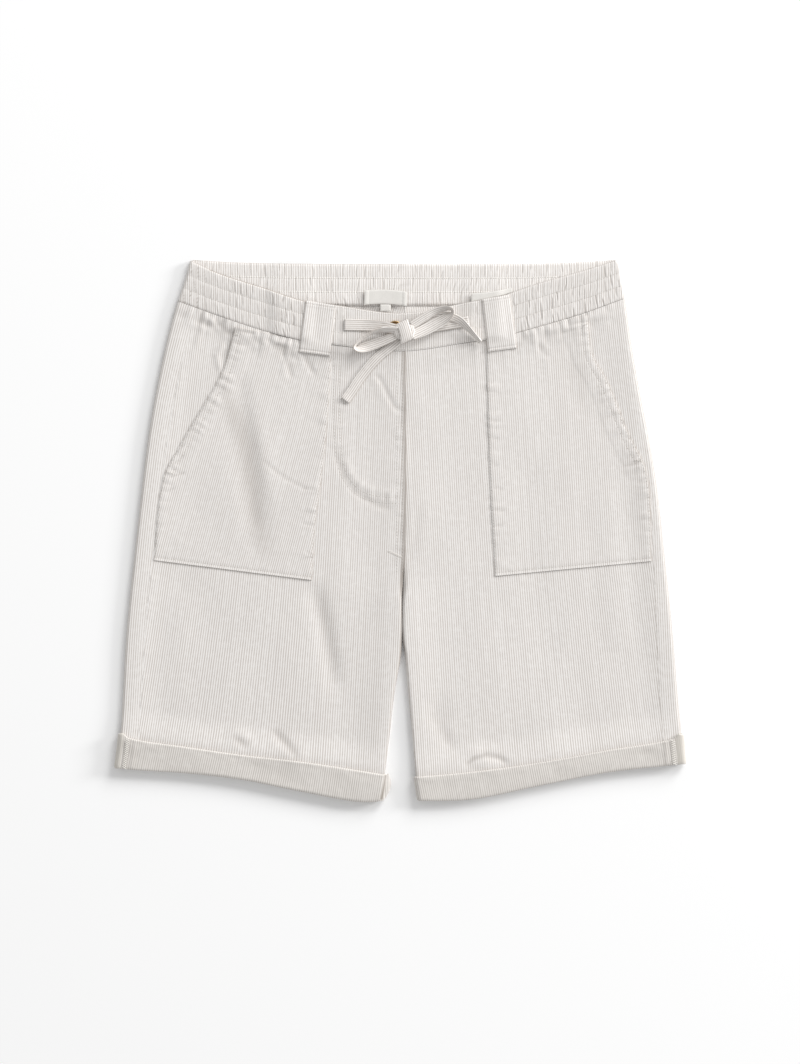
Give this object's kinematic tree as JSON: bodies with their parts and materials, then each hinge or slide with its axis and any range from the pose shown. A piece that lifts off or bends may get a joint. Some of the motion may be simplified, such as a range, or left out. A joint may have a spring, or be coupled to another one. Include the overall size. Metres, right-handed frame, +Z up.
{
  "type": "bermuda shorts with drawstring, laid flat",
  "caption": "knee-length striped cotton shorts laid flat, with a gathered elastic waistband, tied tape drawstring, belt loops, slanted patch pockets and turned-up cuffs",
  "frame": {"origin": "the middle of the flat outline, on the surface that the shorts lie on", "axes": "+X to the wearer's left, +Y from the legs to the waist, +Z up from the surface, out of the front"},
  "size_m": [0.5383, 0.5098, 0.0187],
  "materials": {
    "striped_cloth": "off-white cotton with fine woven beige stripes about 2 mm apart",
    "tape": "the same striped cotton folded and stitched into a flat tape",
    "label": "bare smooth woven satin",
    "button": "brushed dull gold"
  },
  "bodies": {
    "root": {"front_right": "striped_cloth", "front_left": "striped_cloth", "back_right": "striped_cloth", "back_left": "striped_cloth", "pocket_right": "striped_cloth", "pocket_left": "striped_cloth", "cuff_right": "striped_cloth", "cuff_left": "striped_cloth", "waistband_side_right": "striped_cloth", "waistband_side_left": "striped_cloth", "waistband_front_right": "striped_cloth", "waistband_front_left": "striped_cloth", "waistband_back": "striped_cloth", "belt_loop_front_right": "striped_cloth", "belt_loop_front_left": "striped_cloth", "belt_loop_back_right": "striped_cloth", "belt_loop_back_left": "striped_cloth", "drawstring_string_right": "tape", "drawstring_string_left": "tape", "drawstring_bow_right": "tape", "drawstring_bow_left": "tape", "drawstring_tail_right": "tape", "drawstring_tail_left": "tape", "drawstring_knot": "tape", "label_main": "label", "label_size_tab": "label", "label_side": "label", "waist_button": "button"}
  },
  "joints": []
}
